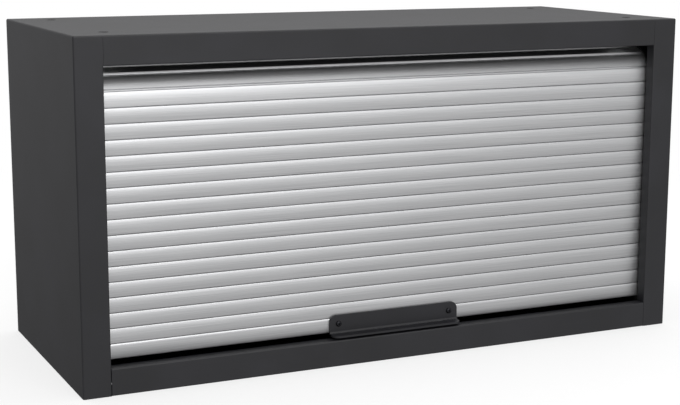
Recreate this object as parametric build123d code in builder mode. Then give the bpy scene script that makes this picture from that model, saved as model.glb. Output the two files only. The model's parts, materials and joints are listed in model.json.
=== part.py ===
from build123d import *
from math import asin, cos, degrees, floor, hypot, pi, radians, sin, sqrt
import os

# Roll front tool cabinet, in millimetres.
# +X is to the right, the door faces -Y and +Z is up. The origin is under the middle of the casing.

# Casing of folded sheet steel
width = 680.0
depth = 276.0
height = 348.0
sheet = 1.2
fold_radius = 1.8          # outside of a fold
lip_radius = 1.5           # outside of the fold from the front frame into its return lip
stile_width = 28.5         # front frame, side posts
top_rail_height = 29.0
bottom_rail_height = 27.5
lip_depth = 12.3           # return lips, measured from the front
rear_flange = 15.0
seam_gap = 0.2             # between a rail and the posts that it butts against
stack_spacing_x = 600.0    # holes that bolt one cabinet to the next
stack_spacing_y = 200.0
stack_hole_radius = 5.0
back_sheet = 1.0
keyhole_spacing = 520.0
keyhole_height = 268.0     # height of the screw seat above the floor
keyhole_head_radius = 5.5
keyhole_slot_radius = 2.7
keyhole_drop = 11.0        # from the screw seat down to the middle of the large hole

# Side liners, which stand the guide channels off the casing sides
liner_sheet = 1.0
liner_gap = 12.8           # between the casing side and the liner's far face

# Door of interlocking extruded slats
pitch = 15.35              # from knuckle to knuckle
door_recess = 14.0         # crown of the slats behind the front
crown = 3.2                # slat face in front of the knuckle line, in the middle
slat_edge = 2.7            # the same, at the slat's edges
slat_back = 1.9            # slat back behind the knuckle line
slat_wall = 0.8
slat_skirt = 1.6           # face below the lower knuckle
slat_shoulder = 2.2        # top of the hollow body below the upper knuckle
shoulder_radius = 1.2      # rounding of the face into that top
bead_radius = 1.1
knuckle_play = 0.2
swing_spare = 2.5          # degrees that a slat can turn back, past what the bends need
mouth_spare = 4.0          # degrees between the neck and the socket's lip on the face side
neck_thickness = 0.9
bar_extension = 2.15       # lower edge of the bottom slat below where its lower knuckle would be
landing_inset = 1.2        # slopes above and below the handle's landing on the bottom slat
bar_clearance = 5.1        # under the bottom slat, above the bottom rail
tail_slats = 3             # slats past the front bend while the door is shut

# Guide channels, one on each side
bend_radius = 24.0         # of the knuckle line
run_drop = 35.5            # level knuckle line below the top of the casing
rear_clearance = 15.0      # least distance from the rear knuckle line to the back of the casing
groove_play = 0.2          # between the slats and the groove's walls
channel_wall = 1.2
channel_depth = 12.5
end_play = 1.5             # between a slat's end and the channel's floor
lug_reach = 8.0            # rivet lugs on the channel's edge
lug_length = 16.0
lug_corner = 3.0
front_lugs = 3
level_lugs = 3
rear_lugs = 2
buffer_length = 16.0       # rubber at the rear end of a channel
buffer_play = 0.3          # between a rubber and the groove's walls
rivet_radius = 1.6
rivet_head_radius = 3.2
rivet_head_height = 1.1
rivet_tail_radius = 2.3
rivet_tail_height = 2.0

# Shroud that keeps the goods off the door while it is open
shroud_sheet = 1.0
shroud_clearance = 1.5     # to the guide channels
shroud_flange = 12.0        # front fold of the ceiling, and width of the end plates
shroud_plate = 1.0
shroud_side_play = 0.2
shroud_front_setback = 5.0  # front edge behind the middle of the front bend
shroud_screws_level = 3
shroud_screws_upright = 3
screw_radius = 2.0
screw_head_radius = 3.9
screw_head_height = 2.4
screw_length = 8.0

# Pull handle, an angle screwed to the bottom slat
handle_length = 150.0
handle_sheet = 2.0
handle_top = 18.8          # top of the plate above the bottom slat's lower edge
handle_drop = 2.8          # underside of the lip below the bottom slat's lower edge
handle_front_gap = 0.4     # tip of the lip behind the front of the casing
handle_corner = 7.5
handle_bend = 2.5          # inside of the fold
handle_screw_spacing = 130.0
handle_screw_height = 9.5   # above the bottom slat's lower edge
handle_screw_radius = 1.5
handle_screw_head_radius = 3.0
handle_screw_head_height = 1.9
handle_screw_play = 0.1
nut_strip_height = 4.4
nut_strip_thickness = 2.0
nut_strip_overhang = 7.0

# Plastic glides in the ends of the slats
glide_head = 1.0
glide_tongue = 8.0
glide_play = 0.1

# Sizes and places that follow from those above
inner_fold = fold_radius - sheet
lap = 3 * sheet            # how far a folded section or a cut runs past the sheet that it meets
inside_x = width / 2 - sheet
opening_x = width / 2 - stile_width
opening_top = height - top_rail_height
front = -depth / 2
back = depth / 2
floor_top = sheet
back_panel_face = back - sheet - back_sheet
liner_x = inside_x - liner_gap
channel_floor_x = liner_x - channel_wall
channel_mouth_x = liner_x - channel_depth
slat_half_length = channel_floor_x - end_play
bar_height = pitch + bar_extension
slat_turn = 2 * degrees(asin(pitch / 2 / bend_radius))
chord_rise = bend_radius * (1 - cos(radians(slat_turn / 2)))
channel_half_gap = max(crown, slat_back + chord_rise) + groove_play
channel_half = channel_half_gap + channel_wall

front_line = front + door_recess + crown
level_line = height - run_drop
bend_start = level_line - bend_radius
bar_bottom = bottom_rail_height + bar_clearance
first_knuckle = bar_bottom + bar_height
lift_steps = floor((bend_start - first_knuckle) / pitch)
travel = lift_steps * pitch
bend_length = bend_radius * pi / 2


def track_point(run):
    """Y and Z of the knuckle line, by its length from the start of the front bend."""
    if run <= 0:
        return front_line, bend_start + run
    if run >= bend_length:
        return front_line + bend_radius + run - bend_length, level_line
    turn = run / bend_radius
    return front_line + bend_radius * (1 - cos(turn)), bend_start + bend_radius * sin(turn)


def next_knuckle(run):
    """The place on the knuckle line that is one pitch away in a straight line."""
    y, z = track_point(run)
    low, high = run, run + 2 * pitch
    while high - low > 1e-9:
        middle = (low + high) / 2
        next_y, next_z = track_point(middle)
        if hypot(next_y - y, next_z - z) < pitch:
            low = middle
        else:
            high = middle
    return low


# Knuckles of the shut door: up the front, round the bend and along the level run.
# The door opens by whole pitches, so that the open slats stand where others stood.
runs = [first_knuckle + step * pitch - bend_start for step in range(lift_steps + 1)]
before_bend = -runs[-1]
while runs[-1] < bend_length:
    runs.append(next_knuckle(runs[-1]))
past_bend = runs[-1] - bend_length
bend_slats = len(runs) - 1 - lift_steps
runs += [runs[-1] + (step + 1) * pitch for step in range(tail_slats)]
knuckles = [track_point(run) for run in runs]
slat_count = len(knuckles)

# The rear bend repeats the front one a whole number of pitches further back.
level_room = back - rear_clearance - front_line - 2 * bend_radius - past_bend - before_bend
level_pitches = floor(level_room / pitch)
rear_line = front_line + 2 * bend_radius + past_bend + before_bend + level_pitches * pitch
open_tail = bend_start - past_bend - tail_slats * pitch - bead_radius
rear_end = open_tail - buffer_length


def dome_radius(rim, rise):
    """Radius of a sphere that rises this far inside a rim of this radius."""
    return (rim**2 + rise**2) / (2 * rise)


def spread(low, high, count):
    """Middles of equal shares of a length."""
    share = (high - low) / count
    return [low + share * (step + 0.5) for step in range(count)]


# Casing: sides and top in one folded sheet with the posts, the top rail and the rear flanges
with BuildPart() as outer_wrap:
    with Locations((0, 0, height / 2)):
        Box(width, depth, height)
    upper_edges = outer_wrap.faces().sort_by(Axis.Z)[-1].edges()
    upright_edges = outer_wrap.edges().filter_by(Axis.Z)
    fillet(upper_edges + upright_edges, fold_radius)
    with BuildPart(mode=Mode.PRIVATE) as hollow:
        with Locations((0, 0, height / 2 - sheet)):
            Box(width - 2 * sheet, depth - 2 * sheet, height)
        inner_upper = hollow.faces().sort_by(Axis.Z)[-1].edges()
        inner_upright = hollow.edges().filter_by(Axis.Z)
        fillet(inner_upper + inner_upright, fold_radius - sheet)
    add(hollow.part, mode=Mode.SUBTRACT)
    with BuildSketch(Plane.XZ.offset(-front - lap)):
        with Locations((0, opening_top / 2)):
            Rectangle(2 * opening_x, opening_top)
    extrude(amount=2 * lap, mode=Mode.SUBTRACT)
    with BuildSketch(Plane.XZ.offset(-back - lap)):
        with Locations((0, (height - rear_flange) / 2)):
            Rectangle(width - 2 * rear_flange, height - rear_flange)
    extrude(amount=2 * lap, mode=Mode.SUBTRACT)
    with BuildSketch(Plane.XZ.offset(-front)):
        with Locations((0, (floor_top + opening_top + sheet) / 2)):
            Rectangle(2 * (opening_x + sheet), opening_top + sheet - floor_top)
        with Locations((0, opening_top / 2)):
            Rectangle(2 * opening_x, opening_top, mode=Mode.SUBTRACT)
    extrude(amount=-lip_depth)
    front_face = outer_wrap.faces().filter_by(Axis.Y).sort_by(Axis.Y)[0]
    lip_edges = [
        edge
        for edge in front_face.edges()
        if abs(edge.center().X) < opening_x + seam_gap and edge.center().Z < opening_top + seam_gap
        and edge.center().Z > floor_top
    ]
    fillet(lip_edges, lip_radius - seam_gap)
    for side in (-1, 1):
        seam_x = side * (opening_x - seam_gap / 2)
        with Locations((seam_x, front + sheet / 2, (opening_top + height) / 2 - fold_radius)):
            Box(seam_gap, sheet, top_rail_height, mode=Mode.SUBTRACT)
    with Locations((0, 0, height)):
        with GridLocations(stack_spacing_x, stack_spacing_y, 2, 2):
            Hole(stack_hole_radius, depth=lap)
outer_wrap.part.label = "outer_wrap"

# Bottom: floor, bottom rail with its return lip, and rear flange
with BuildPart() as bottom_panel:
    with BuildSketch(Plane.XY):
        RectangleRounded(2 * inside_x, depth - 2 * sheet, inner_fold)
    extrude(amount=sheet)
    with BuildSketch(Plane.YZ.offset(-opening_x + seam_gap)) as rail_section:
        with Locations((front, 0)):
            Rectangle(sheet, bottom_rail_height, align=Align.MIN)
            Rectangle(lap, sheet, align=Align.MIN)
        with Locations((front, bottom_rail_height - sheet)):
            Rectangle(lip_depth, sheet, align=Align.MIN)
        fillet(rail_section.vertices().group_by(Axis.X)[0], lip_radius)
    extrude(amount=2 * (opening_x - seam_gap))
    rear_half_width = width / 2 - rear_flange - seam_gap
    with BuildSketch(Plane.YZ.offset(-rear_half_width)) as rear_section:
        with Locations((back, 0)):
            Rectangle(sheet, rear_flange, align=(Align.MAX, Align.MIN))
            Rectangle(lap, sheet, align=(Align.MAX, Align.MIN))
        fillet(rear_section.vertices().group_by(Axis.X)[-1].sort_by(Axis.Y)[0], lip_radius)
    extrude(amount=2 * rear_half_width)
    with GridLocations(stack_spacing_x, stack_spacing_y, 2, 2):
        Hole(stack_hole_radius, depth=lap)
bottom_panel.part.label = "bottom_panel"

# Back: one sheet inside the rear flanges, with two keyholes to hang the cabinet on a wall
with BuildPart() as back_panel:
    with BuildSketch(Plane.XZ.offset(-back_panel_face - back_sheet)):
        with Locations((0, (floor_top + height - sheet) / 2)):
            Rectangle(2 * (inside_x - inner_fold), height - sheet - floor_top - 2 * inner_fold)
        with Locations((-keyhole_spacing / 2, keyhole_height), (keyhole_spacing / 2, keyhole_height)):
            Circle(keyhole_slot_radius, mode=Mode.SUBTRACT)
            with Locations((0, -keyhole_drop / 2)):
                Rectangle(2 * keyhole_slot_radius, keyhole_drop, mode=Mode.SUBTRACT)
            with Locations((0, -keyhole_drop)):
                Circle(keyhole_head_radius, mode=Mode.SUBTRACT)
    extrude(amount=back_sheet)
back_panel.part.label = "back_panel"

# Places of the rivets that hold the channels and of the screws that hold the shroud, as Y and Z
front_lug_places = [
    (front_line + channel_half + lug_reach / 2, z) for z in spread(floor_top, bend_start, front_lugs)
]
level_lug_places = [
    (y, level_line + channel_half + lug_reach / 2)
    for y in spread(front_line + bend_radius, rear_line - bend_radius, level_lugs)
]
rear_lug_places = [
    (rear_line + channel_half + lug_reach / 2, z) for z in spread(rear_end, bend_start, rear_lugs)
]
rivet_places = front_lug_places + level_lug_places + rear_lug_places

shroud_front = front_line + bend_radius + shroud_front_setback
shroud_top = level_line - channel_half - shroud_clearance
shroud_back = rear_line - channel_half - shroud_clearance
shroud_half_length = liner_x - shroud_side_play
shroud_radius = bend_radius - channel_half - shroud_clearance
flange_middle = shroud_flange / 2
shroud_screw_places = [
    (y, shroud_top - flange_middle)
    for y in spread(shroud_front, shroud_back - shroud_flange, shroud_screws_level)
] + [
    (shroud_back - flange_middle, z)
    for z in spread(floor_top, shroud_top - shroud_flange, shroud_screws_upright)
]

# Side liners: upright panels with flanges out to the casing sides
liner_front = front_line - channel_half
liner_back = back_panel_face - inner_fold
liner_top = height - fold_radius
with BuildPart() as right_liner:
    with BuildSketch(Plane.XY.offset(floor_top)) as liner_section:
        with Locations(((liner_x + inside_x) / 2, (liner_front + liner_back) / 2)):
            Rectangle(liner_gap, liner_back - liner_front)
        fillet(liner_section.vertices().group_by(Axis.X)[0], lip_radius)
        with Locations(((liner_x + liner_sheet + inside_x) / 2, (liner_front + liner_back) / 2)):
            Rectangle(
                liner_gap - liner_sheet, liner_back - liner_front - 2 * liner_sheet, mode=Mode.SUBTRACT
            )
    extrude(amount=liner_top - floor_top)
    with BuildSketch(Plane.YZ.offset(liner_x)):
        with Locations(rivet_places):
            Circle(rivet_radius)
        with Locations(shroud_screw_places):
            Circle(screw_radius)
    extrude(amount=liner_sheet, mode=Mode.SUBTRACT)
right_liner.part.label = "right_liner"

with BuildPart() as left_liner:
    add(mirror(right_liner.part, about=Plane.YZ))
left_liner.part.label = "left_liner"


# Guide channels: a U section that follows the knuckle line up, back and down
def channel_outline(half):
    """Band of a given half width along the whole knuckle line, from the floor to the rear end."""
    with BuildSketch() as outline:
        with BuildLine():
            FilletPolyline(
                (front_line - half, floor_top),
                (front_line - half, level_line + half),
                (rear_line + half, level_line + half),
                (rear_line + half, rear_end),
                radius=bend_radius + half,
            )
            Line((rear_line + half, rear_end), (rear_line - half, rear_end))
            FilletPolyline(
                (rear_line - half, rear_end),
                (rear_line - half, level_line - half),
                (front_line + half, level_line - half),
                (front_line + half, floor_top),
                radius=bend_radius - half,
            )
            Line((front_line + half, floor_top), (front_line - half, floor_top))
        make_face()
    return outline.sketch


channel_band = channel_outline(channel_half)
groove_band = channel_outline(channel_half_gap)
with BuildPart() as right_channel:
    with BuildSketch(Plane.YZ.offset(channel_mouth_x)):
        add(channel_band)
    extrude(amount=channel_depth)
    with BuildSketch(Plane.YZ.offset(channel_mouth_x)):
        add(groove_band)
    extrude(amount=channel_depth - channel_wall, mode=Mode.SUBTRACT)
    with BuildSketch(Plane.YZ.offset(channel_floor_x)):
        with Locations(front_lug_places):
            with Locations((-lug_corner / 2, 0)):
                RectangleRounded(lug_reach + lug_corner, lug_length, lug_corner)
        with Locations(rear_lug_places):
            with Locations((-lug_corner / 2, 0)):
                RectangleRounded(lug_reach + lug_corner, lug_length, lug_corner)
        with Locations(level_lug_places):
            with Locations((0, -lug_corner / 2)):
                RectangleRounded(lug_length, lug_reach + lug_corner, lug_corner)
        with Locations(rivet_places):
            Circle(rivet_radius, mode=Mode.SUBTRACT)
    extrude(amount=channel_wall)
right_channel.part.label = "right_channel"

with BuildPart() as left_channel:
    add(mirror(right_channel.part, about=Plane.YZ))
left_channel.part.label = "left_channel"


# Rivets through the channel lugs and the liners: a domed head, a shank and the set tail behind
with BuildPart() as rivet:
    with BuildSketch(Plane.XZ):
        grip = channel_wall + liner_sheet
        with BuildLine():
            Polyline(
                (0, rivet_head_height),
                (0, -grip - rivet_tail_height),
                (rivet_tail_radius, -grip - rivet_tail_height),
                (rivet_tail_radius, -grip),
                (rivet_radius, -grip),
                (rivet_radius, 0),
                (rivet_head_radius, 0),
            )
            head_curve = dome_radius(rivet_head_radius, rivet_head_height)
            RadiusArc((rivet_head_radius, 0), (0, rivet_head_height), -head_curve)
        make_face()
    revolve(axis=Axis.Z)

with BuildPart() as right_rivets:
    with Locations([Location((channel_floor_x, y, z), (0, -90, 0)) for y, z in rivet_places]):
        add(rivet.part)
right_rivets.part.label = "right_channel_rivets"

with BuildPart() as left_rivets:
    add(mirror(right_rivets.part, about=Plane.YZ))
left_rivets.part.label = "left_channel_rivets"

# Rubbers in the channels: the bottom slat comes to rest on the front ones, and the tail of the
# open door on the rear ones, which are plugs in the ends of the channels
rubber_width = 2 * (channel_half_gap - buffer_play)
with BuildPart() as right_door_rubber:
    with BuildSketch(Plane.XY.offset(floor_top)):
        with Locations(((channel_mouth_x + channel_floor_x) / 2, front_line)):
            Rectangle(channel_depth - channel_wall, rubber_width)
    extrude(amount=bar_bottom - buffer_play - floor_top)
right_door_rubber.part.label = "right_door_rubber"

with BuildPart() as right_tail_rubber:
    with BuildSketch(Plane.XY.offset(rear_end)):
        with Locations(((channel_mouth_x + channel_floor_x) / 2, rear_line)):
            Rectangle(channel_depth - channel_wall, rubber_width)
    extrude(amount=open_tail - buffer_play - rear_end)
    with BuildSketch(Plane.XY.offset(rear_end)):
        with Locations(((channel_mouth_x + liner_x) / 2, rear_line)):
            Rectangle(channel_depth, 2 * channel_half)
    extrude(amount=-channel_wall)
right_tail_rubber.part.label = "right_tail_rubber"

with BuildPart() as left_door_rubber:
    add(mirror(right_door_rubber.part, about=Plane.YZ))
left_door_rubber.part.label = "left_door_rubber"

with BuildPart() as left_tail_rubber:
    add(mirror(right_tail_rubber.part, about=Plane.YZ))
left_tail_rubber.part.label = "left_tail_rubber"

# Shroud: a ceiling and an inner back in one sheet, between two end plates screwed to the liners
with BuildPart() as shroud:
    with BuildSketch(Plane.YZ.offset(shroud_plate - shroud_half_length)):
        with BuildLine():
            FilletPolyline(
                (shroud_front, shroud_top - shroud_flange),
                (shroud_front, shroud_top),
                (shroud_back, shroud_top),
                (shroud_back, floor_top),
                radius=[lip_radius, shroud_radius],
            )
            offset(amount=shroud_sheet, side=Side.RIGHT)
        make_face()
    extrude(amount=2 * (shroud_half_length - shroud_plate))
shroud.part.label = "shroud"

with BuildPart() as right_shroud_plate:
    with BuildSketch(Plane.YZ.offset(shroud_half_length)) as plate_outline:
        with Locations(((shroud_front + shroud_back) / 2, (floor_top + shroud_top) / 2)):
            Rectangle(shroud_back - shroud_front, shroud_top - floor_top)
        fillet(plate_outline.vertices().sort_by_distance((shroud_back, shroud_top))[0], shroud_radius)
        fillet(plate_outline.vertices().sort_by_distance((shroud_front, shroud_top))[0], lip_radius)
        with Locations((shroud_front, floor_top)):
            Rectangle(
                shroud_back - shroud_flange - shroud_front,
                shroud_top - shroud_flange - floor_top,
                align=Align.MIN,
                mode=Mode.SUBTRACT,
            )
        with Locations(shroud_screw_places):
            Circle(screw_radius, mode=Mode.SUBTRACT)
    extrude(amount=-shroud_plate)
right_shroud_plate.part.label = "right_shroud_plate"

with BuildPart() as left_shroud_plate:
    add(mirror(right_shroud_plate.part, about=Plane.YZ))
left_shroud_plate.part.label = "left_shroud_plate"


def pan_head_screw(radius, length, head_radius, head_height):
    """A screw along Z with the underside of its head at zero. The head's upper half is domed."""
    rim = head_height / 2
    with BuildPart() as screw:
        with BuildSketch(Plane.XZ):
            with BuildLine():
                Polyline(
                    (0, head_height),
                    (0, -length),
                    (radius, -length),
                    (radius, 0),
                    (head_radius, 0),
                    (head_radius, rim),
                )
                RadiusArc((head_radius, rim), (0, head_height), -dome_radius(head_radius, head_height - rim))
            make_face()
        revolve(axis=Axis.Z)
    return screw.part


shroud_screw = pan_head_screw(screw_radius, screw_length, screw_head_radius, screw_head_height)
with BuildPart() as shroud_screws:
    head_x = shroud_half_length - shroud_plate
    with Locations([Location((head_x, y, z), (0, -90, 0)) for y, z in shroud_screw_places]):
        add(shroud_screw)
    mirror(about=Plane.YZ)
shroud_screws.part.label = "shroud_screws"

# Slat profile, drawn lying down: X runs from the lower knuckle to the upper one, Y is the face side.
# Each slat has a bead along its upper edge, which turns in the open socket of the next slat up.
shoulder = pitch - slat_shoulder
socket_radius = bead_radius + knuckle_play
face_middle = (shoulder - slat_skirt) / 2
crown_rise = crown - slat_edge
half_face = (shoulder + slat_skirt) / 2
crown_radius = (half_face**2 + crown_rise**2) / (2 * crown_rise)


def face_at(along):
    """Height of the slat's inner face behind its crowned front, at a place along the profile."""
    inner_radius = crown_radius - slat_wall
    return crown - crown_radius + sqrt(inner_radius**2 - (along - face_middle) ** 2)


with BuildSketch() as bead_section:
    with Locations((shoulder + slat_shoulder / 2, 0)):
        Rectangle(slat_shoulder, neck_thickness)
    with Locations((pitch, 0)):
        Circle(bead_radius)

neck_half_angle = degrees(asin(neck_thickness / 2 / socket_radius))
mouth_front = radians(neck_half_angle + mouth_spare)
mouth_back = radians(neck_half_angle + slat_turn + swing_spare)
mouth_reach = (slat_back + slat_wall) / cos((mouth_front + mouth_back) / 2)
skirt_under = sqrt(slat_back**2 - slat_skirt**2)
with BuildSketch() as slat_section:
    with BuildLine():
        ThreePointArc((-slat_skirt, slat_edge), (face_middle, crown), (shoulder, slat_edge))
        Polyline(
            (shoulder, slat_edge),
            (shoulder, -slat_back),
            (0, -slat_back),
            (0, skirt_under),
            (-slat_skirt, skirt_under),
            (-slat_skirt, slat_edge),
        )
    make_face()
    fillet(slat_section.vertices().sort_by_distance((shoulder, slat_edge))[0], shoulder_radius)
    Circle(slat_back)
    cavity_start = socket_radius + slat_wall
    cavity_end = shoulder - slat_wall
    with BuildLine():
        ThreePointArc(
            (cavity_start, face_at(cavity_start)),
            (face_middle, crown - slat_wall),
            (cavity_end, face_at(cavity_end)),
        )
        Polyline(
            (cavity_end, face_at(cavity_end)),
            (cavity_end, slat_wall - slat_back),
            (cavity_start, slat_wall - slat_back),
            (cavity_start, face_at(cavity_start)),
        )
    make_face(mode=Mode.SUBTRACT)
    Circle(socket_radius, mode=Mode.SUBTRACT)
    with BuildLine():
        Polyline(
            (0, 0),
            (-mouth_reach * cos(mouth_front), mouth_reach * sin(mouth_front)),
            (-mouth_reach * cos(mouth_back), -mouth_reach * sin(mouth_back)),
            close=True,
        )
    make_face(mode=Mode.SUBTRACT)
    add(bead_section)

# The bottom slat has a flat landing for the handle and a closed lower edge in place of a socket.
bar_foot = -bar_extension
landing_low = bar_foot + landing_inset
landing_high = shoulder - landing_inset
with BuildSketch() as bar_section:
    with BuildLine():
        Polyline(
            (bar_foot, -slat_back),
            (bar_foot, slat_edge),
            (landing_low, crown),
            (landing_high, crown),
            (shoulder, slat_edge),
            (shoulder, -slat_back),
            close=True,
        )
    make_face()
    bar_face = bar_section.vertices().group_by(Axis.Y)[-2]
    fillet(bar_face, slat_wall)
    with Locations((bar_foot + slat_wall, slat_wall - slat_back)):
        Rectangle(
            shoulder - bar_foot - 2 * slat_wall,
            slat_edge + slat_back - 2 * slat_wall,
            align=Align.MIN,
            mode=Mode.SUBTRACT,
        )
    with Locations((landing_low, slat_wall - slat_back)):
        Rectangle(
            landing_high - landing_low, crown + slat_back - 2 * slat_wall, align=Align.MIN, mode=Mode.SUBTRACT
        )
    add(bead_section)


def slat_plane(index):
    """Plane of a slat's profile: X from its lower knuckle to its upper one, Z along the slat."""
    upper_y, upper_z = knuckles[index]
    if index == 0:
        lower_y, lower_z = upper_y, upper_z - pitch
    else:
        lower_y, lower_z = knuckles[index - 1]
    along = (0, upper_y - lower_y, upper_z - lower_z)
    return Plane(origin=(0, lower_y, lower_z), x_dir=along, z_dir=(1, 0, 0))


slats = []
for index in range(1, slat_count):
    with BuildPart() as slat:
        with BuildSketch(slat_plane(index)):
            add(slat_section)
        extrude(amount=slat_half_length, both=True)
    slat.part.label = f"slat_{index:02d}"
    slats.append(slat.part)

with BuildPart() as bottom_slat:
    with BuildSketch(slat_plane(0)):
        add(bar_section)
    extrude(amount=slat_half_length, both=True)
    with BuildSketch(Plane.XZ.offset(crown - front_line)):
        with Locations((0, bar_bottom + handle_screw_height)):
            with GridLocations(handle_screw_spacing, 0, 2, 1):
                Circle(handle_screw_radius + handle_screw_play)
    extrude(amount=-2 * slat_wall, mode=Mode.SUBTRACT)
bottom_slat.part.label = "bottom_slat"


# Glides: plastic plugs with a flat head, in the ends of every second slat
def glides_of(index):
    """The two glides of one slat, each a flat head against the slat's end and a tongue inside it."""
    middle = (slat_edge - slat_back) / 2
    thickness = slat_edge + slat_back
    tongue_length = shoulder - slat_wall - cavity_start - 2 * glide_play
    with BuildPart() as glide:
        with BuildSketch(slat_plane(index).offset(slat_half_length)) as head_section:
            with Locations((shoulder / 2, middle)):
                RectangleRounded(shoulder - slat_wall, thickness - slat_wall / 2, slat_wall)
        extrude(amount=glide_head)
        with BuildSketch(slat_plane(index).offset(slat_half_length)):
            with Locations((cavity_start + glide_play + tongue_length / 2, middle)):
                Rectangle(tongue_length, thickness - 2 * slat_wall - 2 * glide_play)
        extrude(amount=-glide_tongue)
        mirror(about=Plane.YZ)
    return glide.part


with BuildPart() as bottom_slat_glides:
    add(glides_of(0))
bottom_slat_glides.part.label = "bottom_slat_glides"

link_glides = []
for index in range(2, bend_slats + 1, 2):
    with BuildPart() as slat_glides:
        add(glides_of(index))
    slat_glides.part.label = f"slat_{index:02d}_glides"
    link_glides.append(slat_glides.part)

first_curtain_glide = bend_slats + 1 + (bend_slats + 1) % 2
with BuildPart() as curtain_glides:
    for index in range(first_curtain_glide, slat_count, 2):
        add(glides_of(index))
curtain_glides.part.label = "curtain_glides"

# Handle: an angle with its plate on the bottom slat's landing and its lip forward over the bottom rail
plate_back = front_line - crown
lip_under = bar_bottom - handle_drop
handle_screw_z = bar_bottom + handle_screw_height
with BuildPart() as handle:
    with BuildSketch(Plane.YZ.offset(-handle_length / 2)):
        with BuildLine():
            FilletPolyline(
                (plate_back, bar_bottom + handle_top),
                (plate_back, lip_under),
                (front + handle_front_gap, lip_under),
                radius=handle_bend + handle_sheet,
            )
            offset(amount=handle_sheet, side=Side.RIGHT)
        make_face()
    extrude(amount=handle_length)
    plate_corners = handle.edges().filter_by(Axis.Y).group_by(Axis.Z)[-1]
    lip_corners = handle.edges().filter_by(Axis.Z).group_by(Axis.Y)[0]
    fillet(plate_corners + lip_corners, handle_corner)
    with BuildSketch(Plane.XZ.offset(-plate_back)):
        with Locations((0, handle_screw_z)):
            with GridLocations(handle_screw_spacing, 0, 2, 1):
                Circle(handle_screw_radius + handle_screw_play)
    extrude(amount=handle_sheet, mode=Mode.SUBTRACT)
handle.part.label = "handle"

nut_strip_front = plate_back + slat_wall
with BuildPart() as handle_nut_strip:
    with BuildSketch(Plane.XZ.offset(-nut_strip_front)):
        with Locations((0, handle_screw_z)):
            Rectangle(handle_screw_spacing + 2 * nut_strip_overhang, nut_strip_height)
            with GridLocations(handle_screw_spacing, 0, 2, 1):
                Circle(handle_screw_radius, mode=Mode.SUBTRACT)
    extrude(amount=-nut_strip_thickness)
handle_nut_strip.part.label = "handle_nut_strip"

handle_screw = pan_head_screw(
    handle_screw_radius,
    handle_sheet + slat_wall + nut_strip_thickness,
    handle_screw_head_radius,
    handle_screw_head_height,
)
with BuildPart() as handle_screws:
    half_spacing = handle_screw_spacing / 2
    plate_front = plate_back - handle_sheet
    screw_places = [(x, plate_front, handle_screw_z) for x in (-half_spacing, half_spacing)]
    with Locations([Location(place, (90, 0, 0)) for place in screw_places]):
        add(handle_screw)
handle_screws.part.label = "handle_screws"

# Bodies, for whoever assembles the cabinet
carcass = [
    outer_wrap.part,
    bottom_panel.part,
    back_panel.part,
    left_liner.part,
    right_liner.part,
    left_channel.part,
    right_channel.part,
    left_rivets.part,
    right_rivets.part,
    left_door_rubber.part,
    right_door_rubber.part,
    left_tail_rubber.part,
    right_tail_rubber.part,
    shroud.part,
    left_shroud_plate.part,
    right_shroud_plate.part,
    shroud_screws.part,
]
door_bar = [bottom_slat.part, bottom_slat_glides.part, handle.part, handle_nut_strip.part, handle_screws.part]
curtain = slats + link_glides + [curtain_glides.part]

os.makedirs("parts", exist_ok=True)
for piece in carcass + door_bar + curtain:
    export_step(piece, f"parts/{piece.label}.step")
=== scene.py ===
import json
import math

import bpy
from mathutils import Matrix, Vector

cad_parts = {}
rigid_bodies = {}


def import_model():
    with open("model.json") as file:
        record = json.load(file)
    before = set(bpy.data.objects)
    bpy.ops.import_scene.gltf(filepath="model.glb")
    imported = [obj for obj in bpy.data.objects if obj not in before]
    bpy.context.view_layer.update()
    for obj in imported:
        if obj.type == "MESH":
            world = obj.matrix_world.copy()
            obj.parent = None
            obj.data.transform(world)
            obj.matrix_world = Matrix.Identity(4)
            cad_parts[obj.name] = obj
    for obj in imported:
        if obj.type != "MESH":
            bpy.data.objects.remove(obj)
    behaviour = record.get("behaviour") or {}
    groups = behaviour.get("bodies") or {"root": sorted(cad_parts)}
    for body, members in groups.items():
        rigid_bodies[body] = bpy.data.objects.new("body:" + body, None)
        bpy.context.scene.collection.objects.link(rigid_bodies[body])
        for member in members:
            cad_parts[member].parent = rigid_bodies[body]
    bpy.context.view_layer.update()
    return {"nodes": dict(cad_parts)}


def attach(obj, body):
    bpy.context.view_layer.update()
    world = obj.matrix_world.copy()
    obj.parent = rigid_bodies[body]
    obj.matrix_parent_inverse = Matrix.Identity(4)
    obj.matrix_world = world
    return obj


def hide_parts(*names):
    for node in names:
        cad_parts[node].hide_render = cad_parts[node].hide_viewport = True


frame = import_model()
nodes = frame["nodes"]
mm = 0.001
print("loaded", len(nodes), "CAD nodes")


def linearColour(hexCode):
    channels = [int(hexCode[i:i + 2], 16) / 255 for i in (0, 2, 4)]
    return [c / 12.92 if c <= 0.04045 else ((c + 0.055) / 1.055) ** 2.4 for c in channels] + [1.0]


def addNode(tree, kind, settings=None, links=None):
    # settings are node attributes by name, or input values by (name,) or (index,)
    # links give each input, by name or index, the socket that feeds it
    node = tree.nodes.new(kind)
    for key, value in (settings or {}).items():
        if isinstance(key, tuple):
            node.inputs[key[0]].default_value = value
        else:
            setattr(node, key, value)
    for key, socket in (links or {}).items():
        tree.links.new(socket, node.inputs[key])
    return node


def startMaterial(name):
    material = bpy.data.materials.new(name)
    material.use_nodes = True
    tree = material.node_tree
    shader = tree.nodes["Principled BSDF"]
    place = addNode(tree, "ShaderNodeTexCoord").outputs["Object"]  # in metres
    return material, tree, shader, place


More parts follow.
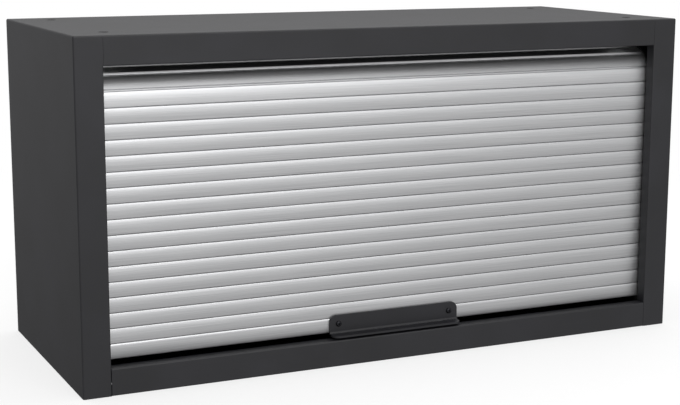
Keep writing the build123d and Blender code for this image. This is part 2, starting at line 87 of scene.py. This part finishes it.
def coverSurface(tree, shader, look, colourPattern, grainPattern):
    # the colour drifts with one pattern, and gloss and bumps follow the other
    tone = addNode(tree, "ShaderNodeValToRGB", {}, {"Fac": colourPattern.outputs["Fac"]})
    for stop, position, code in zip(tone.color_ramp.elements, look["spread"], look["colours"]):
        stop.position = position
        stop.color = linearColour(code)
    shiniest, dullest = look["roughness"]
    gloss = addNode(tree, "ShaderNodeMapRange", {("To Min",): shiniest, ("To Max",): dullest},
                    {"Value": grainPattern.outputs["Fac"]})
    shader.inputs["Metallic"].default_value = look["metallic"]
    tree.links.new(tone.outputs["Color"], shader.inputs["Base Color"])
    tree.links.new(gloss.outputs["Result"], shader.inputs["Roughness"])
    if "bumpHeight" in look:
        bump = addNode(tree, "ShaderNodeBump", {("Distance",): look["bumpHeight"] * mm},
                       {"Height": grainPattern.outputs["Fac"]})
        tree.links.new(bump.outputs["Normal"], shader.inputs["Normal"])


def finishNodes(nodeNames, material):
    for name in nodeNames:
        nodes[name].data.materials.clear()
        nodes[name].data.materials.append(material)


# the casing: satin charcoal, with the slow cloudiness of sprayed powder
casePowder = {
    "colours": ("19191c", "1e1e22"),
    "spread": (0.35, 0.65),     # where in the pattern the first and the second colour are reached
    "metallic": 0.0,
    "roughness": (0.42, 0.55),
    "cloud": 60,                # mm, drift of the film's thickness
    "cloudDetail": 3.0,
    "grain": 0.9,               # mm between the bumps of the fine texture
    "grainDetail": 2.0,
    "bumpHeight": 0.035,        # mm
}
# the handle: the same coat in a finer and darker grade
handlePowder = {**casePowder, "colours": ("151519", "1a1a1f"), "grain": 0.6, "bumpHeight": 0.015}
# the guide channels: black, so that they vanish behind the posts
channelPowder = {**handlePowder, "colours": ("0c0c0d", "121213")}


def makePowderCoat(name, look):
    # polyester powder coat, sprayed and baked: an even dark film with a fine orange-peel texture
    material, tree, shader, place = startMaterial(name)
    cloud = addNode(tree, "ShaderNodeTexNoise",
                    {("Scale",): 1 / (look["cloud"] * mm), ("Detail",): look["cloudDetail"]},
                    {"Vector": place})
    grain = addNode(tree, "ShaderNodeTexNoise",
                    {("Scale",): 1 / (look["grain"] * mm), ("Detail",): look["grainDetail"]},
                    {"Vector": place})
    coverSurface(tree, shader, look, cloud, grain)
    return material


caseCoat = makePowderCoat("satinPowderCoat", casePowder)
handleCoat = makePowderCoat("handlePowderCoat", handlePowder)
channelCoat = makePowderCoat("blackChannelCoat", channelPowder)

anodisedSlat = {
    "colours": ("c3c4c6", "dededf"),  # clear anodising leaves the metal slightly cool
    "spread": (0.3, 0.7),
    "metallic": 1.0,
    "roughness": (0.36, 0.50),
    "brushLength": 90,                # mm along one brush line
    "brushWidth": 0.35,               # mm across it, coarser than real so that it shows
    "brushDetail": 4.0,
    "brushRaggedness": 0.6,
    "bumpHeight": 0.006,              # mm
}


def makeAnodisedSlat(name, look):
    # extruded aluminium, satin brushed along its length and clear anodised:
    # highlights smear up and down
    material, tree, shader, place = startMaterial(name)
    along = 1 / (look["brushLength"] * mm)
    across = 1 / (look["brushWidth"] * mm)
    lines = addNode(tree, "ShaderNodeMapping", {("Scale",): (along, across, across)},
                    {"Vector": place})
    brush = addNode(tree, "ShaderNodeTexNoise",
                    {("Scale",): 1.0, ("Detail",): look["brushDetail"],
                     ("Roughness",): look["brushRaggedness"]},
                    {"Vector": lines.outputs["Vector"]})
    coverSurface(tree, shader, look, brush, brush)
    return material


slatMetal = makeAnodisedSlat("brushedAnodisedAluminium", anodisedSlat)

mottle = {"spread": (0.0, 1.0), "grainDetail": 3.0}  # the same on all little parts
smallPartFinishes = {
    # electroplated steel: bright grey with a soft mirror
    "zincPlatedSteel": {**mottle, "colours": ("a9abad", "c4c5c6"), "metallic": 1.0,
                        "roughness": (0.3, 0.45), "grain": 0.8},
    # steel blackened in hot oxide and oiled: dark, with a sharp glint on each crown
    "blackenedScrewSteel": {**mottle, "colours": ("2c2c2f", "3a3a3e"), "metallic": 1.0,
                            "roughness": (0.2, 0.32), "grain": 0.6},
    # moulded rubber: dull and deep black
    "blackRubber": {**mottle, "colours": ("0e0e0e", "171717"), "metallic": 0.0,
                    "roughness": (0.75, 0.9), "grain": 0.5},
    # moulded acetal: black with a waxy gloss
    "blackAcetal": {**mottle, "colours": ("131314", "1c1c1d"), "metallic": 0.0,
                    "roughness": (0.4, 0.5), "grain": 0.7},
}


def makeSmallPartFinish(name, look):
    # on the little parts the surface shows only as a slight unevenness of tone and gloss
    material, tree, shader, place = startMaterial(name)
    grain = addNode(tree, "ShaderNodeTexNoise",
                    {("Scale",): 1 / (look["grain"] * mm), ("Detail",): look["grainDetail"]},
                    {"Vector": place})
    coverSurface(tree, shader, look, grain, grain)
    return material


smallParts = {name: makeSmallPartFinish(name, look) for name, look in smallPartFinishes.items()}

glideNames = [name for name in nodes if name.endswith("glides")]
slatNames = [name for name in nodes if name.startswith("slat_") and name not in glideNames]
rubberNames = [name for name in nodes if name.endswith("rubber")]
finishNodes(["outer_wrap", "bottom_panel", "back_panel", "left_liner", "right_liner",
             "shroud", "left_shroud_plate", "right_shroud_plate"], caseCoat)
finishNodes(["left_channel", "right_channel"], channelCoat)
finishNodes(["handle"], handleCoat)
finishNodes(["bottom_slat"] + slatNames, slatMetal)
finishNodes(["left_channel_rivets", "right_channel_rivets", "handle_nut_strip"],
            smallParts["zincPlatedSteel"])
finishNodes(["handle_screws", "shroud_screws"], smallParts["blackenedScrewSteel"])
finishNodes(rubberNames, smallParts["blackRubber"])
finishNodes(glideNames, smallParts["blackAcetal"])
print("finishes on", len(nodes), "nodes")

# the slats, whose face rolls back into its top edge, sizes in mm
slatRoll = {
    "line": -120.8,        # Y of the knuckles of the shut curtain
    "firstKnuckle": 50.1,  # Z of the knuckle on top of the bottom slat
    "pitch": 15.35,
    "upright": 15,         # slats that stand straight above the bottom slat
    "onBend": (4.084, 36.010, 73.256, 90, 90, 90),  # degrees that the next ones lean back
    "shoulder": 2.2,       # from the knuckle down to the top of the face
    "faceSide": 1.4,       # what lies further in front of the knuckle line belongs to the face
    "band": 3.2,           # height of the roll
    "depth": 0.35,         # how far back it ends
    "curve": 1.5,          # how slowly it starts, where 1 is a flat slope
    "cuts": 5,
    "weld": 0.001,         # points this close become one
    "smoothBelow": 32,     # degrees
}


def rollSlatTop(name, knuckle, lean, look):
    # the roll catches the light from above as the bright band on top of every slat
    slat = bpy.data.objects.new(name + "_rolled", nodes[name].data.copy())
    bpy.context.scene.collection.objects.link(slat)
    along = Vector((0, math.sin(lean), math.cos(lean)))
    outwards = Vector((0, -math.cos(lean), math.sin(lean)))
    faceTop = knuckle - along * look["shoulder"] * mm
    bpy.ops.object.select_all(action="DESELECT")
    slat.select_set(True)
    bpy.context.view_layer.objects.active = slat
    bpy.ops.mesh.customdata_custom_splitnormals_clear()
    bpy.ops.object.mode_set(mode="EDIT")
    bpy.ops.mesh.select_all(action="SELECT")
    bpy.ops.mesh.remove_doubles(threshold=look["weld"] * mm)
    for cut in range(look["cuts"]):
        drop = look["band"] * (cut + 1) / look["cuts"]
        bpy.ops.mesh.select_all(action="SELECT")
        bpy.ops.mesh.bisect(plane_co=faceTop - along * drop * mm, plane_no=along)
    bpy.ops.object.mode_set(mode="OBJECT")
    for vertex in slat.data.vertices:
        share = 1 + (vertex.co - faceTop).dot(along) / mm / look["band"]
        if share > 0 and (vertex.co - knuckle).dot(outwards) / mm > look["faceSide"]:
            vertex.co -= outwards * look["depth"] * mm * min(share, 1) ** look["curve"]
    bpy.ops.object.shade_smooth_by_angle(angle=math.radians(look["smoothBelow"]))
    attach(slat, nodes[name].parent.name.removeprefix("body:"))
    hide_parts(name)


knuckle = Vector((0, slatRoll["line"], slatRoll["firstKnuckle"])) * mm
leans = [0] * slatRoll["upright"] + [math.radians(lean) for lean in slatRoll["onBend"]]
rollSlatTop("bottom_slat", knuckle, 0, slatRoll)
for number, lean in enumerate(leans, start=1):
    knuckle += Vector((0, math.sin(lean), math.cos(lean))) * slatRoll["pitch"] * mm
    rollSlatTop(f"slat_{number:02d}", knuckle, lean, slatRoll)
print("rolled", len(leans) + 1, "slats")

# pan head screws with a cross recess, sizes in mm
panHead = {
    "sides": 40,
    "crown": 0.7,        # how much of the head's height is rounded
    "crownCuts": 6,
    "crossTaper": 0.6,   # width of the recess at its floor, as a share of that at its mouth
    "smoothBelow": 35,   # degrees
}
handleScrews = {
    **panHead,
    "node": "handle_screws", "body": "door_bar",
    "head": (3.0, 1.9), "shank": (1.5, 4.8),  # radius and length
    "cross": (1.8, 0.95, 1.2),                # half length, width and depth of the recess
    # place, then the axis and degrees that lay the screw down, then how far it is screwed round
    "seats": [((-65, -126.0, 42.1), "X", 90, 24), ((65, -126.0, 42.1), "X", 90, 58)],
}
shroudScrews = {
    **panHead,
    "node": "shroud_screws", "body": "carcass",
    "head": (3.9, 2.4), "shank": (2.0, 8.0),
    "cross": (2.4, 1.2, 1.5),
    "seats": [((side * 324.8, y, z), "Y", -side * 90, turn)
              for side in (-1, 1)
              for y, z, turn in ((-59.455, 300.4, 0), (5.234, 300.4, 31), (69.923, 300.4, 62),
                                 (108.267, 50.067, 93), (108.267, 147.8, 124),
                                 (108.267, 245.533, 155))],
}


def selectCap(screw, side):
    # in edit mode, picks the flat end that looks up, side 1, or down, side -1
    bpy.ops.mesh.select_all(action="DESELECT")
    bpy.ops.object.mode_set(mode="OBJECT")
    for face in screw.data.polygons:
        face.select = face.normal.z * side > 0.9  # within about 25 degrees of straight
    bpy.ops.object.mode_set(mode="EDIT")


def makeScrews(name, look):
    # one screw is modelled standing on its tip, then a copy is laid in every seat
    headRadius, headHeight = (size * mm for size in look["head"])
    shankRadius, length = (size * mm for size in look["shank"])
    reach, width, depth = (size * mm for size in look["cross"])
    bpy.ops.object.select_all(action="DESELECT")
    bpy.ops.mesh.primitive_cylinder_add(vertices=look["sides"], radius=headRadius,
                                        depth=headHeight, location=(0, 0, headHeight / 2))
    screw = bpy.context.object
    bpy.ops.object.transform_apply(location=True, rotation=True, scale=True)
    bpy.ops.object.mode_set(mode="EDIT")
    bpy.ops.mesh.select_mode(type="FACE")
    selectCap(screw, -1)
    bpy.ops.mesh.inset(thickness=headRadius - shankRadius)
    bpy.ops.mesh.extrude_region_move(TRANSFORM_OT_translate={"value": (0, 0, -length)})
    selectCap(screw, 1)
    bpy.ops.mesh.bevel(offset=headHeight * look["crown"], segments=look["crownCuts"],
                       affect="EDGES")
    bpy.ops.object.mode_set(mode="OBJECT")
    for turn in (0, 90):
        bpy.ops.object.select_all(action="DESELECT")
        bpy.ops.mesh.primitive_cube_add(size=1, location=(0, 0, headHeight),
                                        rotation=(0, 0, math.radians(turn)),
                                        scale=(2 * reach, width, 2 * depth))
        cutter = bpy.context.object
        bpy.ops.object.transform_apply(location=True, rotation=True, scale=True)
        for vertex in cutter.data.vertices:
            if vertex.co.z < headHeight:
                vertex.co.x *= look["crossTaper"]
                vertex.co.y *= look["crossTaper"]
        screw.select_set(True)
        bpy.context.view_layer.objects.active = screw
        recess = screw.modifiers.new("recess", "BOOLEAN")
        recess.object = cutter
        recess.solver = "EXACT"
        bpy.ops.object.modifier_apply(modifier=recess.name)
        bpy.data.objects.remove(cutter)
    copies = []
    for place, axis, angle, turn in look["seats"]:
        copy = bpy.data.objects.new(name, screw.data.copy())
        bpy.context.scene.collection.objects.link(copy)
        copy.data.transform(Matrix.Translation(Vector(place) * mm)
                            @ Matrix.Rotation(math.radians(angle), 4, axis)
                            @ Matrix.Rotation(math.radians(turn), 4, "Z"))
        copies.append(copy)
    bpy.data.objects.remove(screw)
    bpy.ops.object.select_all(action="DESELECT")
    for copy in copies:
        copy.select_set(True)
    bpy.context.view_layer.objects.active = copies[0]
    bpy.ops.object.join()
    bpy.ops.object.shade_smooth_by_angle(angle=math.radians(look["smoothBelow"]))
    joined = bpy.context.object
    joined.data.materials.clear()
    joined.data.materials.append(smallParts["blackenedScrewSteel"])
    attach(joined, look["body"])
    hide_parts(look["node"])


makeScrews("handleScrews", handleScrews)
makeScrews("shroudScrews", shroudScrews)
print("screws in place")

paperFloor = {
    "size": 6.0,             # m
    "colour": "f7f7f7",
    "roughness": 0.9,
    "backlit": 0.7,          # how much of it glows by itself, which leaves the shadow faint
    "fade": (0.75, 1.25),    # m from the middle, where it turns into the plain backdrop
}


def makeFloor(look):
    # white paper lit from below, with a faint shadow close by
    bpy.ops.object.select_all(action="DESELECT")
    bpy.ops.mesh.primitive_plane_add(size=look["size"])
    floor = bpy.context.object
    floor.name = "floor"
    material, tree, shader, place = startMaterial("whitePaper")
    shader.inputs["Base Color"].default_value = linearColour(look["colour"])
    shader.inputs["Roughness"].default_value = look["roughness"]
    backdrop = addNode(tree, "ShaderNodeEmission")
    reach = addNode(tree, "ShaderNodeVectorMath", {"operation": "LENGTH"}, {0: place})
    fadeFrom, fadeTo = look["fade"]
    fade = addNode(tree, "ShaderNodeMapRange",
                   {"interpolation_type": "SMOOTHSTEP", ("From Min",): fadeFrom,
                    ("From Max",): fadeTo, ("To Min",): look["backlit"]},
                   {"Value": reach.outputs["Value"]})
    blend = addNode(tree, "ShaderNodeMixShader", {},
                    {0: fade.outputs["Result"], 1: shader.outputs["BSDF"],
                     2: backdrop.outputs["Emission"]})
    tree.links.new(blend.outputs["Shader"], tree.nodes["Material Output"].inputs["Surface"])
    floor.data.materials.append(material)
    floor.visible_glossy = False  # the slats mirror the darker studio, not the white paper


makeFloor(paperFloor)

# places and sizes in m, power in watts
softLights = {
    "frontSoftbox": {"at": (0.0, -2.1, 1.45), "size": (2.0, 1.9), "power": 21},
    "topSoftbox": {"at": (0.2, 0.6, 2.4), "size": (3.6, 2.6), "power": 50},
}
lightTarget = Vector((0, 0, 0.17))  # the middle of the cabinet

for name, light in softLights.items():
    softbox = bpy.data.lights.new(name, "AREA")
    softbox.shape = "RECTANGLE"
    softbox.size, softbox.size_y = light["size"]
    softbox.energy = light["power"]
    lamp = bpy.data.objects.new(name, softbox)
    bpy.context.scene.collection.objects.link(lamp)
    lamp.location = light["at"]
    lamp.rotation_euler = (lightTarget - lamp.location).to_track_quat("-Z", "Y").to_euler()

worldLight = {
    "heights": (0.0, 0.3, 0.5, 1.0),    # straight down, 24 degrees down, the horizon, straight up
    "front": (0.28, 0.42, 0.57, 0.55),  # the pale floor and wall before the cabinet
    "back": (0.07, 0.09, 0.47, 0.60),   # a dark floor behind it
    "passage": (-0.1, 0.5),             # Y of a direction, where front turns into back
    "sheen": 0.45,                      # the wide glow of a window straight ahead of the door
    "sheenTowards": (0.10, -0.96, 0.22),
    "sheenEdges": (0.78, 1.0),          # cosines where it starts and where it is full
    "background": 1.0,                  # what the camera sees beyond the floor
}


def makeWorld(look):
    # the camera sees white paper, and the object sees a grey studio with a glow before the door
    world = bpy.data.worlds.new("studio")
    world.use_nodes = True
    bpy.context.scene.world = world
    tree = world.node_tree
    tree.nodes.clear()
    direction = addNode(tree, "ShaderNodeTexCoord").outputs["Generated"]
    parts = addNode(tree, "ShaderNodeSeparateXYZ", {}, {"Vector": direction})
    height = addNode(tree, "ShaderNodeMapRange", {("From Min",): -1.0, ("From Max",): 1.0},
                     {"Value": parts.outputs["Z"]})
    halves = []
    for levels in (look["front"], look["back"]):
        half = addNode(tree, "ShaderNodeValToRGB", {}, {"Fac": height.outputs["Result"]})
        stops = half.color_ramp.elements
        for position in look["heights"][1:-1]:
            stops.new(position)
        for stop, position, level in zip(stops, look["heights"], levels):
            stop.position = position
            stop.color = (level, level, level, 1)
        halves.append(half)
    frontEdge, backEdge = look["passage"]
    behind = addNode(tree, "ShaderNodeMapRange",
                     {("From Min",): frontEdge, ("From Max",): backEdge},
                     {"Value": parts.outputs["Y"]})
    room = addNode(tree, "ShaderNodeMixRGB", {},
                   {"Fac": behind.outputs["Result"], "Color1": halves[0].outputs["Color"],
                    "Color2": halves[1].outputs["Color"]})
    towards = addNode(tree, "ShaderNodeVectorMath",
                      {"operation": "DOT_PRODUCT", (1,): look["sheenTowards"]}, {0: direction})
    glowFrom, glowTo = look["sheenEdges"]
    glow = addNode(tree, "ShaderNodeMapRange",
                   {"interpolation_type": "SMOOTHSTEP", ("From Min",): glowFrom,
                    ("From Max",): glowTo, ("To Max",): look["sheen"]},
                   {"Value": towards.outputs["Value"]})
    lit = addNode(tree, "ShaderNodeMixRGB", {"blend_type": "ADD", ("Fac",): 1.0},
                  {"Color1": room.outputs["Color"], "Color2": glow.outputs["Result"]})
    seen = addNode(tree, "ShaderNodeLightPath").outputs["Is Camera Ray"]
    shown = addNode(tree, "ShaderNodeMixRGB", {("Color2",): (look["background"],) * 3 + (1,)},
                    {"Fac": seen, "Color1": lit.outputs["Color"]})
    background = addNode(tree, "ShaderNodeBackground", {}, {"Color": shown.outputs["Color"]})
    addNode(tree, "ShaderNodeOutputWorld", {}, {"Surface": background.outputs["Background"]})


makeWorld(worldLight)
bpy.context.scene.view_settings.view_transform = "Standard"

cameraView = {
    "at": (-0.6930, -1.4804, 0.44786),                       # m
    "azimuth": -24.919, "elevation": 10.548, "roll": 0.144,  # degrees
    "focalPixels": 1486.86, "imageWidth": 680,
    "sensorWidth": 36.0,                                     # mm
}

cameraData = bpy.data.cameras.new("camera")
cameraData.sensor_width = cameraView["sensorWidth"]
cameraData.lens = (cameraView["focalPixels"] / cameraView["imageWidth"]
                   * cameraView["sensorWidth"])
camera = bpy.data.objects.new("camera", cameraData)
bpy.context.scene.collection.objects.link(camera)
aim = (Matrix.Rotation(math.radians(cameraView["azimuth"]), 4, "Z")
       @ Matrix.Rotation(math.radians(90 - cameraView["elevation"]), 4, "X")
       @ Matrix.Rotation(math.radians(cameraView["roll"]), 4, "Z"))
camera.matrix_world = Matrix.Translation(cameraView["at"]) @ aim
bpy.context.scene.camera = camera
print("camera and lights are up")
